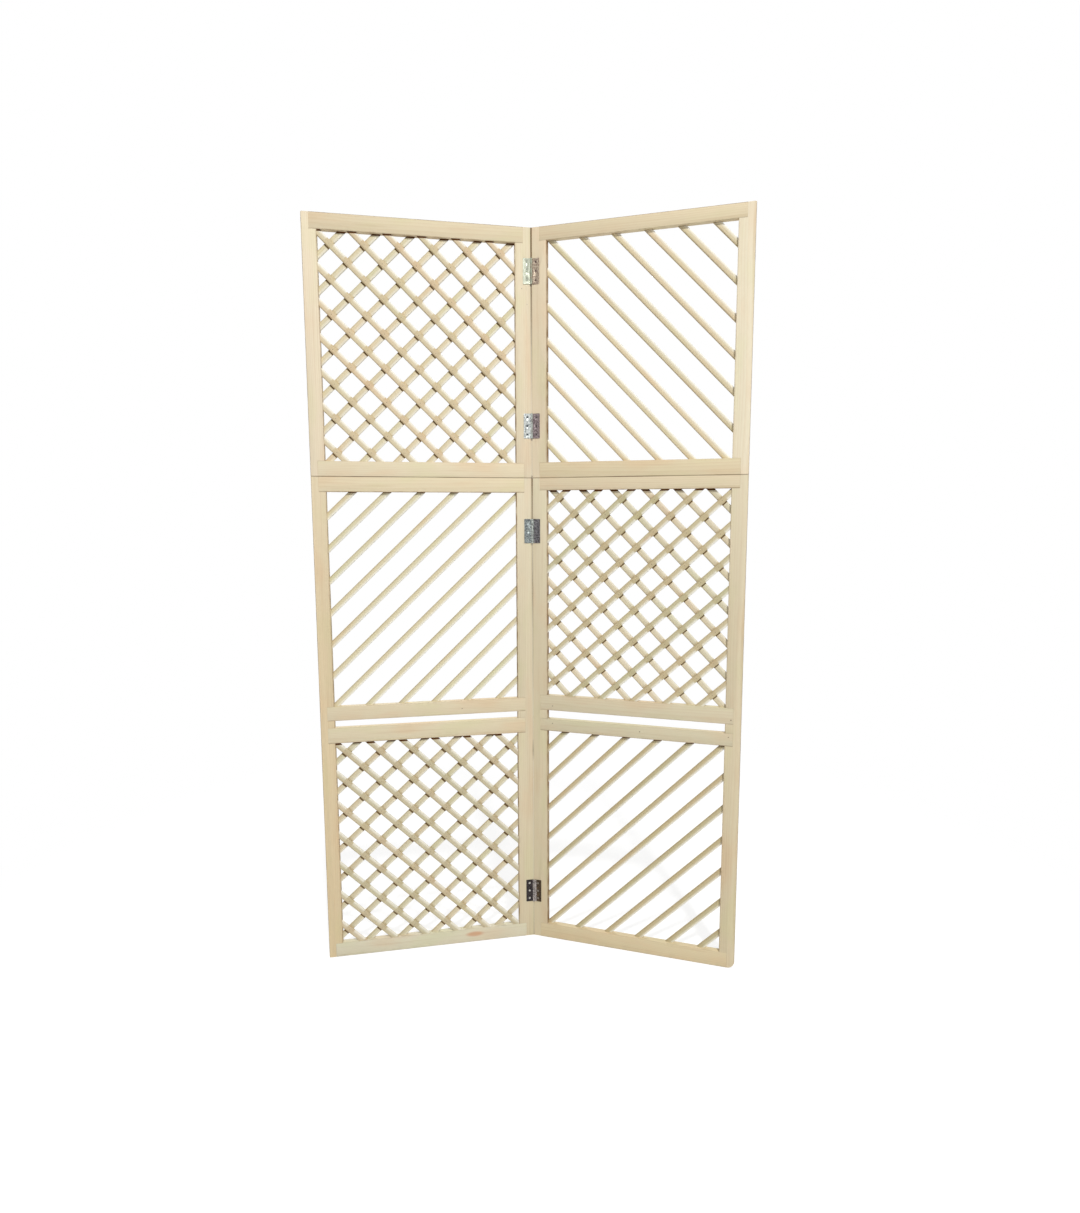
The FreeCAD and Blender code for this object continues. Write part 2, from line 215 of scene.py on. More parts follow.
class Bench:
    """Adds nodes to one tree."""

    def __init__(self, tree):
        self.tree = tree

    @staticmethod
    def find(sockets, key):
        """A socket by its number, name or identifier."""
        if isinstance(key, int):
            return sockets[key]
        return next(one for one in sockets if one.enabled and key in (one.identifier, one.name))

    def node(self, kind, settings=None, inputs=None, out=0):
        """Adds a node and returns a wire from one of its outputs."""
        made = self.tree.nodes.new(kind)
        for setting, value in (settings or {}).items():
            setattr(made, setting, value)
        for key, value in (inputs or {}).items():
            socket = self.find(made.inputs, key)
            for single in value if isinstance(value, list) else [value]:
                if isinstance(single, Wire):
                    self.tree.links.new(single.socket, socket)
                else:
                    socket.default_value = single
        return Wire(self, self.find(made.outputs, out)) if made.outputs else None

    def xyz(self, x, y, z):
        return self.node("ShaderNodeCombineXYZ", None, {0: x, 1: y, 2: z})

    def blend(self, factor, first, second, way="MIX"):
        """A colour between two colours."""
        return self.node(
            "ShaderNodeMix", {"data_type": "RGBA", "blend_type": way},
            {"Factor_Float": factor, "A_Color": first, "B_Color": second}, "Result_Color",
        )

    def vector(self, operation, *values):
        """Vector maths. A length, a distance or a dot product comes out as a number."""
        out = "Value" if operation in ("LENGTH", "DISTANCE", "DOT_PRODUCT") else "Vector"
        inputs = dict(enumerate(values))
        return self.node("ShaderNodeVectorMath", {"operation": operation}, inputs, out)

    def noise(self, place, scale, detail=2.0, roughness=0.5):
        return self.node("ShaderNodeTexNoise", {"noise_dimensions": "3D"}, {
            "Vector": place, "Scale": scale, "Detail": detail, "Roughness": roughness,
        })


def emptied(owner):
    """The bench of a material's or a world's own tree, with nothing on it."""
    owner.use_nodes = True
    owner.node_tree.nodes.clear()
    return Bench(owner.node_tree)


def in_scene(name, data):
    """A new object in the scene."""
    piece = bpy.data.objects.new(name, data)
    bpy.context.scene.collection.objects.link(piece)
    return piece


print("bench ready")

# %% [markdown]
# ## Reading colours
#
# Colours are easiest to judge as they look on a screen, from 0 to 255, but light adds up in
# linear values. One helper turns the first into the second, so every colour below is written
# the way the eye sees it.

# %% Colours from the screen


def shade(red, green, blue):
    """A colour as it looks on a screen, turned into linear values with an alpha of 1."""
    values = []
    for value in (red, green, blue):
        share = value / 255
        values.append(share / 12.92 if share <= 0.04045 else ((share + 0.055) / 1.055) ** 2.4)
    return (*values, 1.0)


print("pale wood is", [round(value, 3) for value in shade(240, 226, 198)])

# %% [markdown]
# ## The timber
#
# The screen is raw pine or spruce, sanded and a little limed, so the grain is soft and pale:
# broad rings, fine fibres, a pink or green blush here and there, and a few small orange knots.
# It could be painted from one noise, but wood is cut from a round trunk, and the rings then
# come right by themselves if each board gets its own place beside an imagined pith. So the
# material turns the coordinates until x runs along the board, and measures the distance to
# the pith from there. The cut ends take more light in and look darker.

# %% Sizes and colours of the grain
RING_GAP = 4.2 * MM
RING_WOBBLE = 14 * MM
LATH_SHIFT = 0.83
KNOT_INNER = 0.05
KNOT_OUTER = 0.13
KNOT_CHANCE = 0.80
# How much of each feature shows, and its colour
LATE_SHARE, LATE_TINT = 0.24, shade(228, 208, 184)
STREAK_SHARE, STREAK_TINT = 0.30, shade(226, 210, 190)
BLUSH_SHARE, PINK_BLUSH, GREEN_BLUSH = 0.75, shade(255, 245, 240), shade(250, 255, 246)
FIBRE_SHARE, FIBRE_BASE, FIBRE_TINT = 0.24, 0.06, shade(206, 190, 168)
WARM_LATH, COOL_LATH = shade(255, 249, 243), shade(247, 249, 243)
KNOT_SHARE, KNOT_COLOUR = 0.62, shade(206, 140, 96)
# The colour of dirt and of painted shade at the arrises and outer edges; it is also mixed into the end
# grain
DIRT_AND_SHADE_COLOUR = shade(112, 86, 58)
END_GRAIN_SHARE, END_GRAIN_COLOUR = 0.55, shade(196, 168, 128)
print("rings every", round(RING_GAP / MM, 1), "mm")

# %% A point's place on its board, and its grain


def board_turn(side, tilt):
    """The rotation that lays a board of a leaf along x, with its width along y."""
    upright = Matrix.Rotation(math.radians(tilt), 3, "Y")
    to_flat = Matrix.Rotation(SIDES[side] * STANDING_TURN, 3, "Z")
    swap = Matrix(((1, 0, 0), (0, 0, 1), (0, -1, 0)))
    return swap @ upright @ to_flat


class Board:
    """A point's place on its board, x along it, y across it and z through it, and its colour."""

    def __init__(self, bench, tone, turn, centre, half_sizes):
        self.bench, self.colour = bench, shade(*tone)
        here = bench.node("ShaderNodeTexCoord", out="Object")
        place = bench.node("ShaderNodeMapping", {"vector_type": "POINT"}, {
            "Vector": here, "Rotation": turn.to_euler("XYZ"), "Location": -(turn @ Vector(centre)),
        })
        self.x = bench.node("ShaderNodeSeparateXYZ", None, {0: place}, "X")
        self.y, self.z = self.x.other("Y"), self.x.other("Z")
        self.layer_x, self.layer_y = self.x, self.y
        self.height = bench.node("ShaderNodeSeparateXYZ", None, {0: here}, "Z")
        self.edge, self.face = half_sizes

    def on_one_lath(self, pitch):
        """Measures x and y from the lath that the point is on, and returns the lath's number."""
        number = (self.y / pitch + 0.5).floor()
        self.y = self.y - number * pitch
        self.x = self.x + number * LATH_SHIFT
        return number

    def cover(self, share, colour):
        """Lays a colour over the board's own."""
        self.colour = self.bench.blend(share, self.colour, colour)

    def tint(self, share, tint):
        """Multiplies the board's colour by a tint."""
        self.cover(share, self.bench.blend(1.0, self.colour, tint, "MULTIPLY"))


def grain_of(board, chance, dice):
    """The board's start in the noises, and its late wood, fibres, streaks and blush."""
    bench, x, y, z = board.bench, board.x, board.y, board.z
    start = dice.uniform(0, 40, 3)
    wobble = bench.noise(bench.xyz((x + start[0]) * 2.2, y * 9, z * 9), 1.0, 1.0) - 0.5
    pith_angle = dice.uniform(0.25, 1.3)
    pith_reach = dice.uniform(45, 80) * MM
    off_y = y + wobble * RING_WOBBLE + math.cos(pith_angle) * pith_reach
    off_z = z + wobble * RING_WOBBLE * 0.4 + math.sin(pith_angle) * pith_reach
    rings = ((off_y * off_y + off_z * off_z).root() / RING_GAP + chance * 3).fraction()
    late = rings * rings * (1 - rings.rise(0.86, 1.0))
    fibre = bench.noise(bench.xyz(x * 26, y * 900, z * 900), 1.0, 2.0, 0.6)
    streak = bench.noise(bench.xyz((x + start[1]) * 3, y * 130, z * 130), 1.0, 2.0, 0.55)
    blush = bench.noise(bench.xyz((x + start[2]) * 5, y * 16, z * 16), 1.0, 2.0)
    return start, late, fibre, streak, blush


def show_grain(board, late, fibre, streak, blush):
    board.tint(late * LATE_SHARE, LATE_TINT)
    board.tint(streak.rise(0.52, 0.78) * STREAK_SHARE, STREAK_TINT)
    board.tint(blush.rise(0.50, 0.72) * BLUSH_SHARE, PINK_BLUSH)
    board.tint(blush.rise(0.50, 0.30) * BLUSH_SHARE, GREEN_BLUSH)
    board.tint((fibre - 0.5) * FIBRE_SHARE + FIBRE_BASE, FIBRE_TINT)


def knots_of(board, start):
    """1 inside the few small knots that chance gives the board, and 0 outside them."""
    cell = board.bench.node("ShaderNodeTexVoronoi", {"feature": "F1"}, {
        "Vector": board.bench.xyz(
            (board.x + start[1]) * 3.4, (board.y + start[0]) * 11, (board.z + start[2]) * 3
        ),
        "Scale": 1.0,
    }, "Distance")
    picked = board.bench.node("ShaderNodeSeparateColor", None, {0: cell.other("Color")}, 0)
    picked = picked.rise(KNOT_CHANCE, KNOT_CHANCE + 0.01)
    return (1 - cell.rise(KNOT_INNER, KNOT_OUTER)) * picked


print("knots on", round(100 * (1 - KNOT_CHANCE)), "% of the cells")

# %% [markdown]
# ## Dirt, light and shade on the boards
#
# Dirt darkens the arrises, with painted shade where two eased arrises meet in a groove, and
# the outer edges get dirt and painted shade as well. Painted shade makes the dark lines of the
# seam between the frames and of the gap between the leaves, and a strip along each window edge.
# A painted highlight lies on the upper side of each lath and painted shade on its lower side,
# and a strip of painted shade lies under every rail. Where two layers cross, the laths get less
# highlight and a little painted shade, and the front one's painted shadow makes a dark corner
# on the rear one. The lower stiles get painted light towards the top. The lamps could do part
# of this, but such thin lines come out clearer as smooth steps in the distance from the edge
# that makes them.

# %% Sizes and colours of dirt, painted light and painted shade
# Dirt on the arrises, with painted shade where two eased arrises meet in a groove: its width and share
ARRIS_WIDTH = 1.6 * MM
ARRIS_SHARE = 0.34
# The painted shade along the window edge of a board: its width and colour
EDGE_SHADE, WINDOW_SHADE_COLOUR = 3.8 * MM, shade(126, 84, 34)
SEAM_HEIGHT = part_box("left_upper_seam_rail")[0].z
# Painted shade in the groove of the seam between the frames: how far it reaches, and its colour
SEAM_SHADE_REACH, SEAM_SHADE_COLOUR = 2.2 * MM, shade(92, 54, 0)
# Painted shade in the gap between the leaves: how far it reaches on each leaf, and its colour
SPINE_SHADE_REACH = {"left": 4.0 * MM, "right": 3.3 * MM}
SPINE_SHADE_COLOUR = shade(104, 74, 0)
# How dark the painted shade of the gap between the leaves is by height, faint in some places
# and deep in others. These steps are set until the line looks and measures about as in the
# photograph.
SPINE_LINE = (
    (0.0, 0.34), (0.05, 0.22), (0.20, 0.10), (0.25, 0.14), (0.30, 0.10), (0.61, 0.08),
    (0.65, 0.50), (0.69, 0.10), (0.80, 0.08), (0.95, 0.22), (1.05, 0.26), (1.15, 0.55),
    (1.20, 0.56), (1.31, 0.36), (1.42, 0.70), (1.48, 0.75), (1.535, 0.92), (1.545, 0.10),
    (1.78, 0.10), (1.85, 0.27), (1.95, 0.54), (2.05, 0.74), (2.20, 1.00),
)
# A painted highlight on the upper side of each lath, and painted shade on its lower side in single and
# crossed layers
USUAL_LIT, LIT_SIDE = 0.85, shade(255, 252, 240)
SINGLE_SIDE_SHADE, CROSSED_SIDE_SHADE, SHADED_SIDE = 0.55, 0.40, shade(170, 150, 116)
# The colour of the painted shade under the rails
RAIL_SHADE_COLOUR = shade(82, 44, 0)
# Distances from the middle of a crossing lath: where the painted shade of a crossing starts and
# ends to show, and where the painted shadow of the front lath on the rear one starts and ends in
# each window
CROSSING_INNER, CROSSING_OUTER = 10.5 * MM, 16.0 * MM
CROSSING_SHARE, CROSSING_SHADE_TINT = 0.24, shade(216, 192, 154)
CORNER_SHADOW_START = 8.4 * MM
CORNER_SHADOW_ENDS = {"upper": 13.2 * MM, "middle": 13.6 * MM, "lower": 17.0 * MM}
CORNER_SHADOW_SHARE, CORNER_SHADOW_COLOUR = 0.86, shade(106, 70, 0)
MARK_SHARE, NAIL_STAIN = 0.8, shade(96, 74, 52)
# The colour of the painted light on the lower stiles
TOP_LIGHT_COLOUR = shade(255, 246, 222)
print("seam", round(SEAM_HEIGHT / MM, 1), "mm above the floor")

# %% Shades of laths and boards


def across_others(board, crossed):
    """How far a point is from the middle of the nearest lath that crosses."""
    share_x, share_y, start_across, other_pitch, _ = crossed
    across = (board.layer_x * share_x + board.layer_y * share_y + start_across) / other_pitch
    return (across - (across + 0.5).floor()) * (-other_pitch)


def light_laths(board, tilt, across, lit):
    """Paints a highlight on the upper side of the laths and shade on the lower one. Where another layer
    crosses, it paints a little shade and less highlight.
    """
    between, side_shade = 1.0, SINGLE_SIDE_SHADE
    if across is not None:
        between, side_shade = abs(across).rise(CROSSING_INNER, CROSSING_OUTER), CROSSED_SIDE_SHADE
        board.tint((1 - between) * CROSSING_SHARE, CROSSING_SHADE_TINT)
    lower = board.y * (1 if tilt > 0 else -1)
    board.cover(lower.rise(0.1 * board.edge, -board.edge) * between * lit, LIT_SIDE)
    board.cover(lower.rise(0.30 * board.edge, board.edge) * side_shade, SHADED_SIDE)


def shade_laths(board, roof, across, shadow_end):
    """Paints shade on the laths under the rail, and the front laths' shadow on the rear ones."""
    top, depth, share = roof
    board.cover(board.height.rise(top - depth, top - depth * 0.6) * share, RAIL_SHADE_COLOUR)
    # Painted shadow of the front lath on the rear one
    if shadow_end:
        corner = across.rise(CORNER_SHADOW_START, CORNER_SHADOW_START + 0.8 * MM)
        corner = corner * across.rise(shadow_end, shadow_end - 1.8 * MM)
        board.cover(corner * CORNER_SHADOW_SHARE, CORNER_SHADOW_COLOUR)


def by_height(bench, height, steps):
    """A share that follows (height, share) steps with straight lines between them."""
    total = steps[0][1]
    for (low, first), (high, second) in zip(steps, steps[1:]):
        ramp = bench.node("ShaderNodeMapRange", {"interpolation_type": "LINEAR"}, {
            "Value": height, "From Min": low, "From Max": high,
            "To Min": 0.0, "To Max": second - first,
        })
        total = ramp + total
    return total


def shaded_and_dirty_edges(board, dark_edge, window_edge, near_face, patchy):
    """Darkens the outer edge of a board with dirt and painted shade, and paints shade along its window
    edge.
    """
    edge = board.edge
    if dark_edge:
        outer = (board.y * dark_edge).rise(edge - ARRIS_WIDTH, edge - ARRIS_WIDTH * 0.4)
        board.cover(outer * near_face * (0.45 + patchy * 0.40), DIRT_AND_SHADE_COLOUR)
    sign, share = window_edge
    if sign:
        inner = (board.y * sign).rise(edge - EDGE_SHADE, edge)
        board.cover(inner * (0.30 + patchy * 0.40) * share, WINDOW_SHADE_COLOUR)


def draw_seam(board):
    """Paints shade in the seam's groove as a dark line, uneven along the leaf."""
    groove = abs(board.height - SEAM_HEIGHT).rise(SEAM_SHADE_REACH, SEAM_SHADE_REACH * 0.3)
    along = board.bench.xyz(board.height.other("X") * 5, 0.0, 0.0)
    uneven = board.bench.noise(along, 1.0, 1.0).rise(0.40, 0.62)
    board.cover(groove * (0.38 + uneven * 0.30), SEAM_SHADE_COLOUR)


def stain(board, marks):
    """Nail stains and small knots, each as (along, across, radius)."""
    for along, across, radius in marks:
        apart = board.bench.xyz(board.layer_x - along, (board.layer_y - across) * 1.3, 0.0)
        near = board.bench.vector("LENGTH", apart).rise(radius, radius * 0.4)
        board.cover(near * MARK_SHARE, NAIL_STAIN)


print("line between the leaves has", len(SPINE_LINE), "heights")

# %% The timber material


def timber(
    name, tone, side, tilt, centre, half_sizes, seed, pitch=None, dark_edge=0,
    window_edge=(0, 0), spine=False, roof=None, crossed=None, lit=USUAL_LIT, marks=(), top_light=(),
):
    """Wood for one board, or for a layer of laths that repeat at a pitch across the grain.

    tilt is the slope of its grain and centre its middle where it stands. dark_edge is the sign
    of its edge darkened with dirt and painted shade, and spine says that this edge lies against
    the other leaf and gets the painted shade of the gap instead. window_edge is the sign and the
    share of the painted shade at a window. roof is the height of the rail over the laths, with
    the depth and the share of its painted shade. crossed tells how other laths cross: the shares
    of x and y in the distance across them, its start, their pitch and how far the painted shadow
    of the front laths reaches, or 0 if they lie behind. lit is how far a painted highlight covers
    a lath's upper side.
    """
    material = bpy.data.materials.new(name)
    bench = emptied(material)
    dice = np.random.default_rng(seed)

    turn = board_turn(side, tilt)
    board = Board(bench, tone, turn, centre, half_sizes)
    edge, face = board.edge, board.face
    chance = dice.random()
    if pitch:
        chance = bench.node("ShaderNodeTexWhiteNoise", {"noise_dimensions": "1D"}, {
            "W": board.on_one_lath(pitch) + seed,
        }, "Value")
    start, late, fibre, streak, blush = grain_of(board, chance, dice)
    show_grain(board, late, fibre, streak, blush)
    if pitch:
        cool = bench.blend(1.0, board.colour, COOL_LATH, "MULTIPLY")
        warm = bench.blend(1.0, board.colour, WARM_LATH, "MULTIPLY")
        board.colour = bench.blend(chance, cool, warm)
    knot = knots_of(board, start)
    board.cover(knot * KNOT_SHARE, KNOT_COLOUR)

    # Dirt on the arrises, and painted shade where two eased arrises meet in a groove
    near_edge = (board.y * -dark_edge if spine else abs(board.y)).rise(edge - ARRIS_WIDTH, edge)
    near_face = abs(board.z).rise(face - ARRIS_WIDTH, face)
    patchy = bench.noise(bench.xyz(board.x + start[0], board.y, board.z), 34.0, 2.0)
    patchy = patchy.rise(0.32, 0.72)
    board.cover(near_edge * near_face * (0.35 + patchy * 0.65) * ARRIS_SHARE, DIRT_AND_SHADE_COLOUR)
    # Painted light, lighter towards the top of the lower stiles
    if top_light:
        board.cover(by_height(bench, board.height, top_light), TOP_LIGHT_COLOUR)
    across = across_others(board, crossed) if crossed else None
    if pitch:
        light_laths(board, tilt, across, lit)
    shaded_and_dirty_edges(board, 0 if spine else dark_edge, window_edge, near_face, patchy)
    draw_seam(board)
    if roof:
        shade_laths(board, roof, across, crossed[-1] if crossed else 0)
    stain(board, marks)
    # Painted shade of the gap between the leaves, a dark line along the hinge stile
    if spine:
        gap_shade = SPINE_SHADE_REACH[side]
        meeting = (board.y * dark_edge).rise(edge - gap_shade, edge - gap_shade * 0.3)
        board.cover(meeting * by_height(bench, board.height, SPINE_LINE), SPINE_SHADE_COLOUR)
    normal = bench.node("ShaderNodeTexCoord", out="Normal")
    end_grain = abs(bench.vector("DOT_PRODUCT", normal, turn.transposed() @ Vector((1, 0, 0))))
    fresh_cut = bench.blend(fibre, END_GRAIN_COLOUR, DIRT_AND_SHADE_COLOUR)
    board.cover(end_grain.rise(0.60, 0.80) * END_GRAIN_SHARE, fresh_cut)

    bump = bench.node("ShaderNodeBump", None, {
        "Strength": 0.35, "Distance": 0.25 * MM, "Height": fibre * 0.5 + late * 0.35 + streak * 0.3,
    })
    surface = bench.node("ShaderNodeBsdfPrincipled", None, {
        "Base Color": board.colour,
        "Roughness": 0.62 + late * 0.10 - knot * 0.12,
        "IOR": 1.25,
        "Normal": bump,
    })
    bench.node("ShaderNodeOutputMaterial", None, {"Surface": surface})
    return material


print("timber ready")

# %% [markdown]
# ## Stiles and rails with eased arrises
#
# The part's stiles and rails have the right joints but knife-sharp edges. A joiner takes the
# sharpness off every arris with a plane or sandpaper, and where two eased pieces meet, a fine
# groove is left: that groove is the line which shows where a rail ends inside a stile. A Bevel
# modifier would round the nail holes too, so the long outer edges are picked in mesh code and
# only they are bevelled. The seam between the two frames gets a wider ease.

# %% Ease the long arrises
EASE = 0.55 * MM
SEAM_EASE = 1.1 * MM
PLATE_EASE = 0.25 * MM
SHORTEST_ARRIS = 3.5 * MM
SPINE_REACH = 1.0 * MM
FRONT_REACH = 4.5 * MM
SHARP = math.radians(50)
EASE_STEPS = 2
FLAT_ANGLE = math.radians(0.5)
SMOOTH_ANGLE = math.radians(35)


def long_arrises(work, pick=lambda edge: True):
    """The outward edges that a hand could feel: sharp, long and picked."""
    return [
        edge for edge in work.edges
        if edge.is_manifold and edge.is_convex and edge.calc_length() > SHORTEST_ARRIS
        and edge.calc_face_angle() > SHARP and pick(edge)
    ]


def at_seam(edge):
    return all(abs(vert.co.z - SEAM_HEIGHT) < 2 * SEAM_EASE for vert in edge.verts)


def at_spine(edge):
    """Whether an edge is the front arris that all but meets the other leaf's."""
    return all(abs(vert.co.x) < SPINE_REACH and vert.co.y < FRONT_REACH for vert in edge.verts)


def eased(node, ease, seam_ease=None):
    """A copy of a node with its long arrises eased, standing where the node stands."""
    work = merged_copy(node)
    bmesh.ops.dissolve_limit(work, angle_limit=FLAT_ANGLE, verts=work.verts, edges=work.edges)
    if seam_ease:
        bmesh.ops.bevel(
            work, geom=long_arrises(work, at_seam), offset=seam_ease, segments=EASE_STEPS,
            profile=0.5, affect="EDGES",
        )
    bmesh.ops.bevel(
        work, geom=long_arrises(work, lambda edge: not at_seam(edge) and not at_spine(edge)),
        offset=ease, segments=EASE_STEPS, profile=0.5, affect="EDGES",
    )
    bmesh.ops.recalc_face_normals(work, faces=work.faces)
    bmesh.ops.transform(work, matrix=standing(side_of(node)), verts=work.verts)
    mesh = bpy.data.meshes.new(node + "_eased")
    work.to_mesh(mesh)
    work.free()
    mesh.shade_smooth()
    mesh.set_sharp_from_angle(angle=SMOOTH_ANGLE)
    return in_scene(node + "_eased", mesh)


def dress(piece, material, slot, body, *nodes):
    """Gives a finished piece its material, its body and the nodes it stands for. slot is not used."""
    piece.data.materials.clear()
    piece.data.materials.append(material)
    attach(piece, body)
    if nodes:
        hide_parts(*nodes)


print("easing by", round(EASE / MM, 2), "mm")

# %% [markdown]
# ## The tone of each board
#
# No two boards of the screen are alike. The upper frame is the palest, the lower one a shade
# darker and warmer, and within each frame the boards differ a little in pink or green. Each
# board has one tone, set by comparing its mean colour in the render and in the photograph, so
# a tone holds part of the light and shade on the board as well as the wood's own colour.

# %% Tones of the boards
UPPER_TONES = {
    "upper_outer_stile": ((240, 226, 199), (244, 233, 206)),
    "upper_hinge_stile": ((236, 223, 195), (233, 218, 189)),
    "top_rail": ((229, 215, 184), (231, 216, 184)),
    "upper_seam_rail": ((237, 224, 194), (232, 217, 183)),
}
LOWER_TONES = {
    "lower_outer_stile": ((228, 209, 172), (226, 212, 180)),
    "lower_hinge_stile": ((225, 212, 182), (219, 206, 175)),
    "lower_seam_rail": ((237, 223, 191), (233, 218, 187)),
    "slot_top_rail": ((230, 217, 187), (224, 213, 184)),
    "slot_bottom_rail": ((230, 218, 188), (221, 212, 183)),
    "bottom_rail": ((226, 220, 196), (225, 210, 175)),
}
# For each board the sign of its outer edge, darkened with dirt and painted shade, and the sign
# and share of the painted shade along its window edge. A node's own name goes before the ending
# that both leaves share.
EDGES = {
    "upper_outer_stile": (-1, 1, 0.45), "lower_outer_stile": (-1, 1, 0.45),
    "upper_hinge_stile": (1, -1, 1.25), "lower_hinge_stile": (1, -1, 1.2),
    "top_rail": (1, -1, 0.5), "right_top_rail": (1, -1, 0.2), "bottom_rail": (-1, 0, 0),
    "lower_seam_rail": (0, -1, 1.0), "slot_top_rail": (0, -1, 0.6), "slot_bottom_rail": (0, -1, 0.9),
}
# Nail stains and small knots on a few boards, each as (along, across, radius) in mm from its middle
MARKS = {
    "right_slot_bottom_rail": ((21, 2, 3.0), (-262, 6, 2.4), (290, 8, 2.6)),
    "right_slot_top_rail": ((-262, -10, 2.4), (296, -12, 3.0)),
    "left_upper_hinge_stile": ((196, 4, 1.8), (150, -12, 1.4)),
    "left_slot_top_rail": ((105, -4, 2.6),),
}
# Painted light: the lower stiles get lighter towards the seam, as light falls from above, as (height,
# share)
STILE_TOP_LIGHT = ((0.25, 0.0), (0.80, 0.06), (1.10, 0.10), (1.50, 0.28))
NO_EDGES = (0, 0, 0)


def make_boards(tones, slot):
    """Dresses every board of one frame on both leaves."""
    for number, (ending, pair) in enumerate(tones.items()):
        for side, tone in zip(SIDES, pair):
            node = f"{side}_{ending}"
            low, high = flat_box(node)
            upright = ending.endswith("stile")
            middle = standing(side) @ Vector((low + high) / 2)
            width = (high - low)[0 if upright else 2]
            outer_sign, window_sign, share = EDGES.get(node, EDGES.get(ending, NO_EDGES))
            sign = SIDES[side] if upright else 1
            marks = [[value * MM for value in mark] for mark in MARKS.get(node, ())]
            wood = timber(
                node + "_wood", tone, side, 90 if upright else 0, middle,
                (width / 2, (high - low)[1] / 2), 100 * number + (7 if side == "left" else 31),
                dark_edge=outer_sign * sign, window_edge=(window_sign * sign, share),
                spine="hinge_stile" in ending, marks=marks,
                top_light=STILE_TOP_LIGHT if "lower" in ending and upright else (),
            )
            dress(eased(node, EASE, SEAM_EASE), wood, slot, body_of(node), node)


make_boards(UPPER_TONES, "upper_frame_wood")
make_boards(LOWER_TONES, "lower_frame_wood")
print(2 * (len(UPPER_TONES) + len(LOWER_TONES)), "boards dressed")

# %% [markdown]
# ## Growing pieces with Geometry Nodes
#
# What repeats is made once and copied by a node tree: the tree reads a seedling mesh, whose
# corners say where each copy goes, and a few named sizes. When the tree has run, its result
# is taken as one plain mesh, because the copies are only instances until they are realized,
# and then it is turned from the flat leaf into place.

# %% Run a tree on a seedling


def new_tree(name, sockets):
    """An empty geometry tree with named inputs, its bench and wires from those inputs."""
    tree = bpy.data.node_groups.new(name, "GeometryNodeTree")
    tree.interface.new_socket("Geometry", in_out="OUTPUT", socket_type="NodeSocketGeometry")
    tree.interface.new_socket("Geometry", in_out="INPUT", socket_type="NodeSocketGeometry")
    for label, kind in sockets.items():
        tree.interface.new_socket(label, in_out="INPUT", socket_type="NodeSocket" + kind)
    bench = Bench(tree)
    first = bench.node("NodeGroupInput", out="Geometry")
    return tree, bench, first


def copies_on(bench, points, blank, angles, scale=(1, 1, 1)):
    """Real copies of a blank on every corner, each with its own angles and scale."""
    return bench.node("GeometryNodeRealizeInstances", None, {
        0: bench.node("GeometryNodeInstanceOnPoints", None, {
            "Points": points, "Instance": blank, "Scale": scale,
            "Rotation": bench.node("FunctionNodeEulerToRotation", None, {0: angles}),
        }),
    })


def end_tree(bench, shape, material):
    """Gives the tree's shape its material and hands it out."""
    bench.node("NodeGroupOutput", None, {0: bench.node("GeometryNodeSetMaterial", None, {
        "Geometry": shape, "Material": material,
    })})


def seedling(name, points, **attributes):
    """A mesh of loose corners, with one number a corner for each attribute."""
    mesh = bpy.data.meshes.new(name)
    mesh.from_pydata([tuple(point) for point in points], [], [])
    for label, values in attributes.items():
        mesh.attributes.new(label, "FLOAT", "POINT").data.foreach_set("value", list(values))
    return mesh


def grown(name, mesh, tree, sizes, side):
    """The plain mesh that a tree makes of a seedling, turned into place on its leaf."""
    piece = in_scene(name, mesh)
    modifier = piece.modifiers.new("tree", "NODES")
    modifier.node_group = tree
    for item in tree.interface.items_tree:
        if item.in_out == "INPUT" and item.name in sizes:
            modifier[item.identifier] = sizes[item.name]
    ready = piece.evaluated_get(bpy.context.evaluated_depsgraph_get())
    plain = bpy.data.meshes.new_from_object(ready)
    piece.modifiers.remove(modifier)
    piece.data = plain
    plain.transform(standing(side))
    return piece


print("trees can be grown")

# %% [markdown]
# ## The laths
#
# A lath is a thin strip, about 18 by 7 mm, with its arrises just broken. Each layer has twelve
# of them at an even pitch, cut to the window on the slant. They could be placed one by one,
# but a rule makes them all: one bar is swept along x, a copy stands on every corner of the
# seedling, stretched to its length and turned to its slope, and a Boolean with the window's
# own box makes the slanting cuts at the ends, as a saw guided by the frame would.

# %% The lath tree
lath_tree, bench, seeds = new_tree("laths", {
    "Width": "Float", "Thickness": "Float", "Ease": "Float",
    "Window low": "Vector", "Window high": "Vector", "Wood": "Material",
})
profile = bench.node("GeometryNodeFilletCurve", {"mode": "POLY"}, {
    "Curve": bench.node("GeometryNodeCurvePrimitiveQuadrilateral", None, {
        "Width": seeds.other("Thickness"), "Height": seeds.other("Width"),
    }),
    "Radius": seeds.other("Ease"), "Count": 4,
})
bar = bench.node("GeometryNodeCurveToMesh", None, {
    "Curve": bench.node("GeometryNodeCurvePrimitiveLine", None, {
        "Start": (-0.5, 0, 0), "End": (0.5, 0, 0),
    }),
    "Profile Curve": profile, "Fill Caps": True,
})
slope, run = (
    bench.node("GeometryNodeInputNamedAttribute", {"data_type": "FLOAT"}, {"Name": name}, "Attribute")
    for name in ("slope", "run")
)
laths = copies_on(bench, seeds, bar, bench.xyz(0.0, slope * -1, 0.0), bench.xyz(run, 1.0, 1.0))
low, high = seeds.other("Window low"), seeds.other("Window high")
size, total = bench.vector("SUBTRACT", high, low), bench.vector("ADD", high, low)
window = bench.node("GeometryNodeTransform", None, {
    "Geometry": bench.node("GeometryNodeMeshCube", None, {"Size": size}),
    "Translation": bench.node("ShaderNodeVectorMath", {"operation": "SCALE"}, {0: total, "Scale": 0.5}),
})
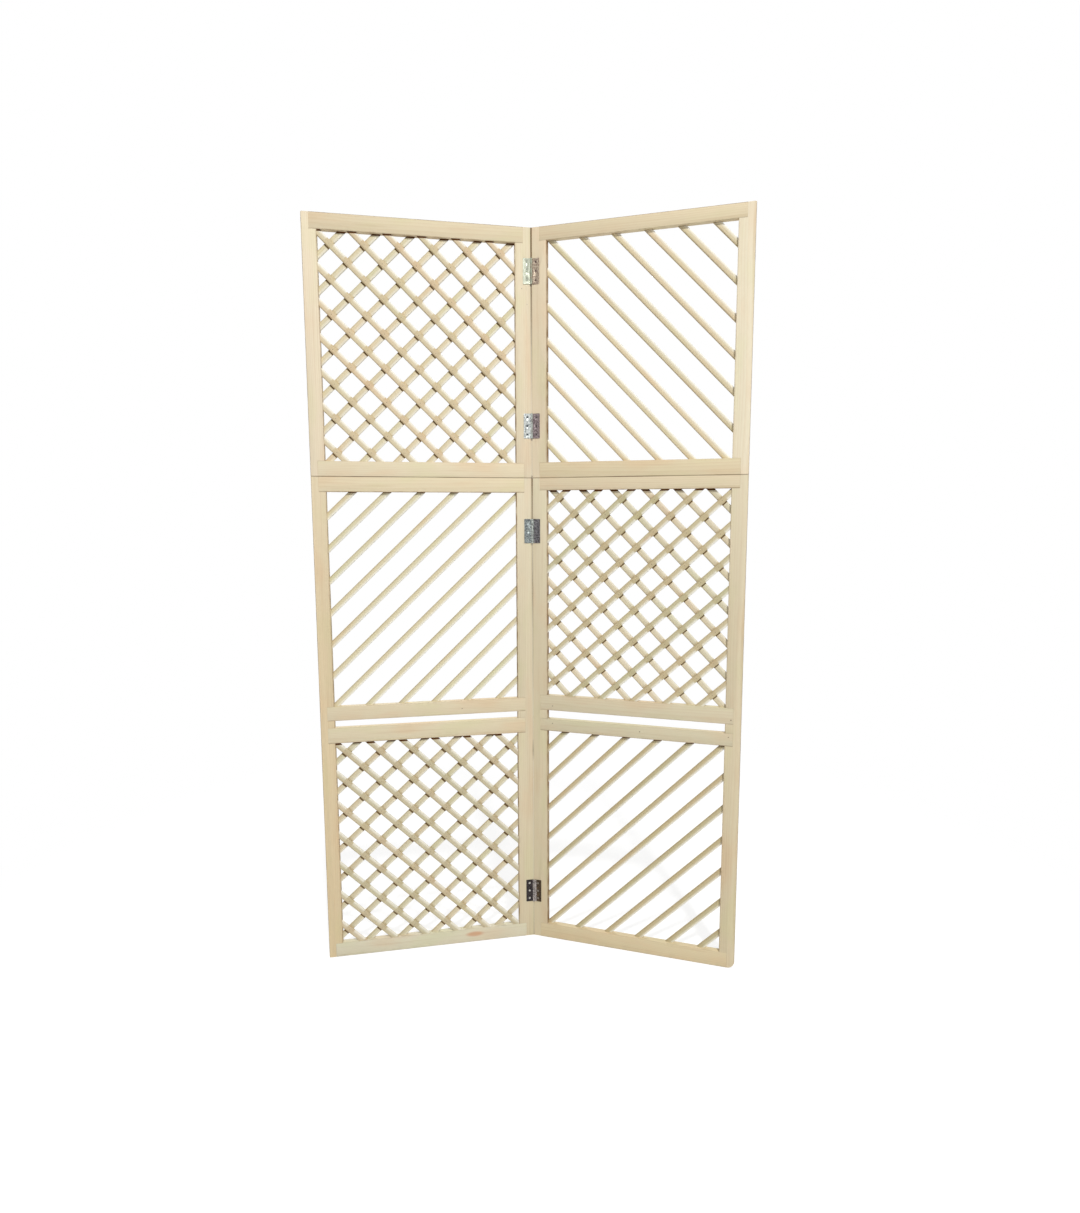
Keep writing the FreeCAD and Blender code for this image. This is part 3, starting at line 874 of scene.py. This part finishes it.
cut = bench.node("GeometryNodeMeshBoolean", {"operation": "INTERSECT", "solver": "EXACT"}, {
    1: [laths, window],
})
end_tree(bench, cut, seeds.other("Wood"))
print("lath tree has", len(lath_tree.nodes), "nodes")

# %% Measure and make every layer of laths
LATH_WIDTH = 18 * MM
LATH_EASE = 2.6 * MM
LATH_OVERRUN = 60 * MM
MIDDLE_LATH = 5
WINDOWS = {
    "upper": ("upper_seam_rail", "top_rail"),
    "middle": ("slot_top_rail", "lower_seam_rail"),
    "lower": ("bottom_rail", "slot_bottom_rail"),
}
# Each layer's tone, which holds part of the light and shade on its laths as well as the wood's own
# colour
LATH_TONES = {
    "left_upper_front_strips": (232, 218, 190),
    "left_upper_rear_strips": (232, 224, 196),
    "left_middle_strips": (230, 225, 195),
    "left_lower_front_strips": (217, 208, 182),
    "left_lower_rear_strips": (225, 218, 191),
    "right_upper_strips": (237, 224, 194),
    "right_middle_front_strips": (217, 210, 179),
    "right_middle_rear_strips": (234, 225, 200),
    "right_lower_strips": (210, 199, 164),
}
# How far the painted shade under the rail reaches down the laths, and how deep it is
ROOFS = {
    "left_upper": (6.2 * MM, 1.0), "right_upper": (3.2 * MM, 0.36),
    "left_middle": (4.2 * MM, 0.88), "right_middle": (6.8 * MM, 1.0),
    "left_lower": (8.0 * MM, 1.0), "right_lower": (7.2 * MM, 1.0),
}
# How far the painted highlight covers the upper side of the laths, where it isn't the usual share
LIT_SHARES = {
    "left_upper_rear_strips": 0.62, "left_lower_front_strips": 0.66, "left_lower_rear_strips": 0.55,
    "right_middle_front_strips": 0.90, "right_middle_rear_strips": 0.40,
}


def window_limits(side, window):
    """The lowest and highest corner of a window's opening on the flat leaf."""
    below, above = WINDOWS[window]
    level = "upper" if window == "upper" else "lower"
    edges = [flat_box(f"{side}_{level}_{which}_stile") for which in ("hinge", "outer")]
    if side == "right":
        x_low, x_high = edges[0][1][0], edges[1][0][0]
    else:
        x_low, x_high = edges[1][1][0], edges[0][0][0]
    z_low = flat_box(f"{side}_{below}")[1][2]
    z_high = flat_box(f"{side}_{above}")[0][2]
    return x_low, x_high, z_low, z_high


def lath_lines(node):
    """Each lath's middle, slope and length, measured on the solids."""
    lines = []
    for corners, edges in solids_of(node):
        steps = edges[:, 1] - edges[:, 0]
        lengths = np.linalg.norm(steps[:, [0, 2]], axis=1)
        longest = steps[np.argmax(lengths * (np.abs(steps[:, 1]) < MERGE_DISTANCE))]
        slope = math.atan(longest[2] / longest[0])
        along = np.array((math.cos(slope), 0, math.sin(slope)))
        across = np.array((-math.sin(slope), 0, math.cos(slope)))
        reach, offset, depth = corners @ along, corners @ across, corners[:, 1]
        middle = (
            along * (reach.min() + reach.max()) / 2 + across * (offset.min() + offset.max()) / 2
            + np.array((0, (depth.min() + depth.max()) / 2, 0))
        )
        lines.append((middle, slope, reach.max() - reach.min(), middle @ across))
    return sorted(lines, key=lambda line: line[3])


def make_laths(node, seed):
    """One layer of laths, cut to its window."""
    side = side_of(node)
    window = node.split("_")[1]
    x_low, x_high, z_low, z_high = window_limits(side, window)
    low, high = flat_box(node)
    lines = lath_lines(node)
    slope = float(np.median([line[1] for line in lines]))
    pitch = (lines[-1][3] - lines[0][3]) / (len(lines) - 1)
    middle = Vector(lines[MIDDLE_LATH][0])
    crossed = None
    other = node.replace("rear", "front") if "rear" in node else node.replace("front", "rear")
    if other != node:
        over = lath_lines(other)
        lean = float(np.median([line[1] for line in over]))
        across = Vector((-math.sin(lean), 0, math.cos(lean)))
        crossed = (
            across @ Vector((math.cos(slope), 0, math.sin(slope))),
            across @ Vector((-math.sin(slope), 0, math.cos(slope))),
            across @ middle - over[0][3], (over[-1][3] - over[0][3]) / (len(over) - 1),
            CORNER_SHADOW_ENDS[window] if "rear" in node else 0,
        )
    wood = timber(
        node + "_wood", LATH_TONES[node], side, math.degrees(slope),
        standing(side) @ middle, (LATH_WIDTH / 2, (high - low)[1] / 2), seed, pitch,
        roof=(z_high, *ROOFS[f"{side}_{window}"]), crossed=crossed,
        lit=LIT_SHARES.get(node, USUAL_LIT),
    )
    mesh = seedling(
        node, [line[0] for line in lines], slope=[line[1] for line in lines],
        run=[line[2] + 2 * LATH_OVERRUN for line in lines],
    )
    piece = grown(node + "_laths", mesh, lath_tree, {
        "Width": LATH_WIDTH, "Thickness": float((high - low)[1]), "Ease": LATH_EASE,
        "Window low": (x_low, float(low[1]) - LATH_EASE, z_low),
        "Window high": (x_high, float(high[1]) + LATH_EASE, z_high), "Wood": wood,
    }, side)
    piece.data.shade_smooth()
    piece.data.set_sharp_from_angle(angle=SMOOTH_ANGLE)
    dress(piece, wood, "strip_wood", body_of(node), node)
    print(
        node, "pitch", round(pitch / MM, 2), "slope", round(math.degrees(slope), 2),
        "faces", len(piece.data.polygons),
    )


for number, node in enumerate(lath_nodes):
    make_laths(node, 900 + 17 * number)

# %% [markdown]
# ## Brads, nails and screws
#
# A brad goes through both laths at every crossing, its small domed head just proud of the
# wood. Stouter nails hold the lapped corners from behind, and slotted countersunk screws hold
# the hinges. All three are turned shapes, so one profile spun about its axis makes the blank.
# A second tree sets a copy at each place that the part has one, and gives each a turn of its
# own, since nobody lines up the slots. Only the screw's blank loses a slot in the tree.

# %% A turned blank and the fixing tree
BLANK_SIDES = 14
TREE_SEED = 5
FIXING_ANGLE = math.radians(32)


def turned(name, profile):
    """A mesh spun about the y axis from (radius, depth) steps, with its head facing -y."""
    work = bmesh.new()
    rims = []
    for radius, depth in profile:
        if radius == 0:
            rims.append([work.verts.new((0, depth, 0))])
            continue
        angles = [math.tau * number / BLANK_SIDES for number in range(BLANK_SIDES)]
        rims.append([
            work.verts.new((radius * math.cos(angle), depth, radius * math.sin(angle)))
            for angle in angles
        ])
    for upper, lower in zip(rims, rims[1:]):
        for number in range(BLANK_SIDES):
            following = (number + 1) % BLANK_SIDES
            corners = [upper[number % len(upper)], upper[following % len(upper)],
                       lower[following % len(lower)], lower[number % len(lower)]]
            work.faces.new(list(dict.fromkeys(corners)))
    bmesh.ops.recalc_face_normals(work, faces=work.faces)
    mesh = bpy.data.meshes.new(name)
    work.to_mesh(mesh)
    work.free()
    return bpy.data.objects.new(name, mesh)


def fixing_tree(name, slotted):
    """A tree that sets a blank at every corner, facing to the front or to the back."""
    tree, bench, places = new_tree(name, {
        "Blank": "Object", "Half turn": "Float", "Slot": "Vector", "Metal": "Material",
    })
    blank = bench.node("GeometryNodeObjectInfo", None, {"Object": places.other("Blank")}, "Geometry")
    if slotted:
        slot = bench.node("GeometryNodeMeshCube", None, {"Size": places.other("Slot")})
        blank = bench.node("GeometryNodeMeshBoolean", {
            "operation": "DIFFERENCE", "solver": "EXACT",
        }, {0: blank, 1: slot})
    spin = bench.node("FunctionNodeRandomValue", {"data_type": "FLOAT"}, {
        "Min": 0.0, "Max": math.tau, "Seed": TREE_SEED,
    }, "Value")
    angles = bench.xyz(0.0, spin, places.other("Half turn") * math.pi)
    end_tree(bench, copies_on(bench, places, blank, angles), places.other("Metal"))
    return tree


plain_tree = fixing_tree("plain_fixings", slotted=False)
slotted_tree = fixing_tree("slotted_fixings", slotted=True)
print("blanks have", BLANK_SIDES, "sides")

# %% [markdown]
# ## Metal that has been handled
#
# None of the steel is bright chrome. The hinges are cheap zinc plate: each one has its own
# tone, with a cloudy mottling and darker stains, and a tone of its own on the knuckles round
# the pin. A blend of two tones by two noises of different size gives that, and the same noise
# makes the darker places rougher. Screws and nails use the same metal with their own tones.

# %% The metal material
STAIN_LOW, STAIN_HIGH = 0.41, 0.59
BARREL_REACH = 4.6 * MM
# Plates whose knuckle tone reaches further out from the pin than usual
WIDE_KNUCKLE_TONE = {
    "lower_middle_hinge_left_plate": 6 * MM, "lower_middle_hinge_right_plate": 6 * MM,
    "bottom_hinge_right_plate": 10 * MM,
}


def metal(
    name, light, dark, seed, cloud=220.0, roughness=0.42, metallic=0.6, above=(),
    barrel=None, barrel_reach=None,
):
    """Mottled plated steel. Each of `above` holds a height and the two tones used over it.

    barrel is the tone round the pin, as far as barrel_reach.
    """
    material = bpy.data.materials.new(name)
    bench = emptied(material)
    here = bench.node("ShaderNodeTexCoord", out="Object")
    place = bench.vector("ADD", here, (seed, 2 * seed, -seed))
    clouds = bench.noise(place, cloud, 3.0, 0.6)
    grit = bench.noise(place, cloud * 6, 2.0)
    stain = (clouds * 0.7 + grit * 0.3).rise(STAIN_LOW, STAIN_HIGH)
    colour = bench.blend(stain, shade(*light), shade(*dark))
    for height, upper_light, upper_dark in above:
        z = bench.node("ShaderNodeSeparateXYZ", None, {0: here}, "Z")
        upper = bench.blend(stain, shade(*upper_light), shade(*upper_dark))
        colour = bench.blend(z.rise(height - 10 * MM, height), colour, upper)
    if barrel:
        from_pin = bench.vector("DISTANCE", bench.vector("MULTIPLY", here, (1, 1, 0)), PIN_PLACE)
        round_pin = from_pin.rise(barrel_reach, barrel_reach * 0.7)
        round_pin = round_pin * (1 - clouds.rise(0.44, 0.56) * 0.80)
        colour = bench.blend(round_pin, colour, shade(*barrel))
    bump = bench.node("ShaderNodeBump", None, {
        "Strength": 0.3, "Distance": 0.12 * MM, "Height": grit + clouds,
    })
    surface = bench.node("ShaderNodeBsdfPrincipled", None, {
        "Base Color": colour, "Metallic": metallic,
        "Roughness": roughness + stain * 0.18, "Normal": bump,
    })
    bench.node("ShaderNodeOutputMaterial", None, {"Surface": surface})
    return material


brad_metal = metal("brad_steel", (184, 166, 140), (140, 122, 100), 3.1, 500.0)
nail_metal = metal("corner_nail_steel", (150, 146, 138), (88, 80, 70), 4.7, 400.0)
DULL_ZINC = {"roughness": 0.62, "metallic": 0.3}
screw_metals = {
    "left": metal(
        "left_screw_zinc", (226, 224, 216), (168, 166, 160), 6.3, 500.0, above=(
            (1.0, (186, 194, 190), (130, 138, 136)), (1.5, (90, 96, 100), (50, 54, 60)),
            (2.0, (184, 190, 172), (160, 166, 148)),
        ), **DULL_ZINC,
    ),
    "right": metal(
        "right_screw_zinc", (160, 152, 140), (104, 96, 86), 7.9, 500.0, above=(
            (1.0, (140, 138, 142), (92, 90, 96)), (1.5, (104, 96, 96), (60, 54, 54)),
            (2.0, (128, 108, 100), (86, 70, 64)),
        ), **DULL_ZINC,
    ),
}
print("metals:", brad_metal.name, nail_metal.name, [one.name for one in screw_metals.values()])

# %% Set every brad, nail and screw
# Each step of a profile is (radius, depth) in mm
BRAD_PROFILE = [
    (0, -0.28), (0.7, -0.22), (1.25, -0.02), (1.5, 0.25), (1.5, 0.8), (0.8, 0.8), (0.8, 11.4), (0, 12),
]
NAIL_PROFILE = [
    (0, 0.05), (1.7, 0.05), (2.3, 0), (2.6, 0.25), (2.6, 1.2), (1.2, 1.2), (1.2, 13.4), (0, 15),
]
SCREW_PROFILE = [(0, 0), (2.9, 0), (3.3, 0.1), (3.4, 0.3), (1.7, 1.7), (1.7, 10), (0, 14)]
SCREW_SLOT = (8 * MM, 1.2 * MM, 0.9 * MM)
TO_FRONT, TO_BACK = -1, 1


def set_fixings(node, profile, facing, tree, material, slot):
    """One mesh with a copy of the blank at each of the node's solids."""
    blank = turned(node + "_blank", [(radius * MM, depth * MM) for radius, depth in profile])
    places = []
    for corners, _ in solids_of(node):
        x, _, z = (corners.min(0) + corners.max(0)) / 2
        depth = corners[:, 1].min() if facing == TO_FRONT else corners[:, 1].max()
        places.append((x, depth, z))
    piece = grown(node + "_set", seedling(node, places), tree, {
        "Blank": blank, "Half turn": 0.0 if facing == TO_FRONT else 1.0,
        "Slot": SCREW_SLOT, "Metal": material,
    }, side_of(node))
    piece.data.shade_smooth()
    piece.data.set_sharp_from_angle(angle=FIXING_ANGLE)
    bpy.data.objects.remove(blank)
    dress(piece, material, slot, body_of(node), node)
    return len(places)


for node in ("left_upper_brads", "left_lower_brads", "right_middle_brads"):
    print(node, set_fixings(node, BRAD_PROFILE, TO_FRONT, plain_tree, brad_metal, "nail_steel"))
for side in SIDES:
    nails, screws = f"{side}_corner_nails", f"{side}_hinge_screws"
    zinc = screw_metals[side]
    print(nails, set_fixings(nails, NAIL_PROFILE, TO_BACK, plain_tree, nail_metal, "nail_steel"))
    print(screws, set_fixings(screws, SCREW_PROFILE, TO_FRONT, slotted_tree, zinc, "screw_steel"))

# %% [markdown]
# ## The hinges
#
# The four butt hinges differ in tone: the upper two are pale, the third is grey and the lowest
# is nearly black. The plates keep the part's shape, with their stamped edges eased by a quarter
# of a millimetre. The pins stay as they are in the part.

# %% Dress the hinges
# Light and dark tone of the left plate, of the right plate, and the tone of the knuckles.
HINGES = {
    "top_hinge": ((186, 190, 174), (166, 170, 152), (196, 182, 160), (140, 120, 106), (142, 146, 128)),
    "upper_middle_hinge": (
        (224, 228, 224), (146, 152, 152), (164, 150, 150), (96, 82, 84), (184, 190, 182),
    ),
    "lower_middle_hinge": (
        (160, 168, 166), (72, 78, 82), (128, 126, 128), (56, 52, 56), (206, 212, 206),
    ),
    "bottom_hinge": ((76, 68, 68), (28, 24, 28), (92, 74, 52), (34, 26, 20), (206, 198, 196)),
}
for number, (hinge, tones) in enumerate(HINGES.items()):
    for side, (light, dark) in zip(SIDES, (tones[:2], tones[2:4])):
        node = f"{hinge}_{side}_plate"
        plating = metal(
            node + "_zinc", light, dark, 10 + number, cloud=260.0,
            barrel=tones[4], barrel_reach=WIDE_KNUCKLE_TONE.get(node, BARREL_REACH),
        )
        dress(eased(node, PLATE_EASE), plating, "hinge_steel", body_of(node), node)
    pin = frame["nodes"][hinge + "_pin"]
    pin.material_slots[0].material = metal(
        hinge + "_pin_zinc", (190, 188, 184), (110, 106, 102), 20 + number
    )
print(len(HINGES), "hinges dressed")

# %% [markdown]
# ## The dowels
#
# Two dowels a leaf tie the upper frame to the lower one. They are hidden in the wood, but they
# would show if the frames were lifted apart, so they get a hardwood of their own.

# %% Dress the dowels
DOWEL_RADIUS = 4 * MM
for side in SIDES:
    pegs = frame["nodes"][f"{side}_joining_dowels"]
    low, high = flat_box(f"{side}_joining_dowels")
    beech = timber(
        f"{side}_dowel_wood", (214, 184, 142), side, 90,
        standing(side) @ Vector((low + high) / 2), (DOWEL_RADIUS, DOWEL_RADIUS),
        71 if side == "left" else 83,
    )
    pegs.material_slots[0].material = beech
print("dowels dressed")

# %% [markdown]
# ## Floor, light and camera
#
# The screen stands in a white studio. A lamp high in front gives the laths their short shadows
# and a faint white sky fills the rest, so that colours come out about as they are written. The
# world shows pure white to the camera and gives the lesser light to the wood. The floor is a
# plain pale plane. To the camera it glows a little, so it keeps the screen's shadow, and
# further out it turns plain white and melts into the background. The camera stands where the
# fit to the photograph puts it.

# %% Floor, world and lamps
FLOOR_SIZE = 9.0
FLOOR_GLOW = 0.72
WHITE_FROM, WHITE_TO = 0.9, 2.2
WHITE = (1, 1, 1, 1)
floor_mesh = bpy.data.meshes.new("floor")
half = FLOOR_SIZE / 2
corners = [(-half, -half, 0), (half, -half, 0), (half, half, 0), (-half, half, 0)]
floor_mesh.from_pydata(corners, [], [(0, 1, 2, 3)])
floor = in_scene("floor", floor_mesh)
floor_paint = bpy.data.materials.new("floor_paint")
bench = emptied(floor_paint)
matte = bench.node("ShaderNodeBsdfDiffuse", None, {"Color": shade(244, 244, 244)})
dim = bench.node("ShaderNodeBsdfDiffuse", None, {"Color": shade(170, 170, 170)})
glow = bench.node("ShaderNodeEmission", None, {"Color": WHITE, "Strength": FLOOR_GLOW})
near = bench.node("ShaderNodeAddShader", None, {0: dim, 1: glow})
from_screen = bench.vector("LENGTH", bench.node("ShaderNodeTexCoord", out="Object"))
far = bench.node("ShaderNodeEmission", None, {"Color": WHITE, "Strength": 1.0})
to_camera = bench.node("ShaderNodeMixShader", None, {
    0: from_screen.rise(WHITE_FROM, WHITE_TO), 1: near, 2: far,
})
bench.node("ShaderNodeOutputMaterial", None, {"Surface": bench.node("ShaderNodeMixShader", None, {
    0: bench.node("ShaderNodeLightPath", out="Is Camera Ray"), 1: matte, 2: to_camera,
})})
floor_mesh.materials.append(floor_paint)

SKY_STRENGTH = 0.27
world = bpy.data.worlds.new("studio")
bench = emptied(world)
ray = bench.node("ShaderNodeLightPath", out="Is Camera Ray")
white = bench.node("ShaderNodeBackground", None, {"Color": WHITE, "Strength": 1.0})
sky = bench.node("ShaderNodeBackground", None, {"Color": WHITE, "Strength": SKY_STRENGTH})
direct = ray.maths("MAXIMUM", ray, ray.other("Is Transmission Ray"))
bench.node("ShaderNodeOutputWorld", None, {"Surface": bench.node("ShaderNodeMixShader", None, {
    0: direct.maths("MAXIMUM", direct, ray.other("Is Glossy Ray")), 1: sky, 2: white,
})})
bpy.context.scene.world = world

# Each lamp's place, the point it is aimed at, its size and its power
LAMPS = {
    "key_lamp": ((2.0, -5.8, 8.0), (0.0, 0.0, 1.2), 0.7, 590.0),
    "back_lamp": ((-2.0, 4.6, 4.6), (0.0, 0.0, 1.1), 1.6, 150.0),
}
for name, (place, aim, size, power) in LAMPS.items():
    light = bpy.data.lights.new(name, "AREA")
    light.size = size
    light.energy = power
    lamp = in_scene(name, light)
    aimed = (Vector(aim) - Vector(place)).to_track_quat("-Z", "Y").to_matrix().to_4x4()
    lamp.matrix_world = Matrix.Translation(place) @ aimed
print(len(LAMPS), "lamps")

# %% Camera
CAMERA_PLACE = (0.1545, -2.0222, 1.42373)
# In degrees: to the left, down, and about the line of sight
CAMERA_TURN, CAMERA_DIP, CAMERA_ROLL = 2.602, 6.091, -0.10
lens = bpy.data.cameras.new("camera")
lens.sensor_width = 36
lens.lens = 19.454
lens.shift_x = -0.0077
lens.shift_y = -0.01895
camera = in_scene("camera", lens)
camera.matrix_world = (
    Matrix.Translation(CAMERA_PLACE)
    @ Matrix.Rotation(math.radians(CAMERA_TURN), 4, "Z")
    @ Matrix.Rotation(math.radians(90 - CAMERA_DIP), 4, "X")
    @ Matrix.Rotation(math.radians(CAMERA_ROLL), 4, "Z")
)
bpy.context.scene.camera = camera
bpy.context.scene.view_settings.view_transform = "Standard"
print("camera at", tuple(round(value, 3) for value in camera.location))
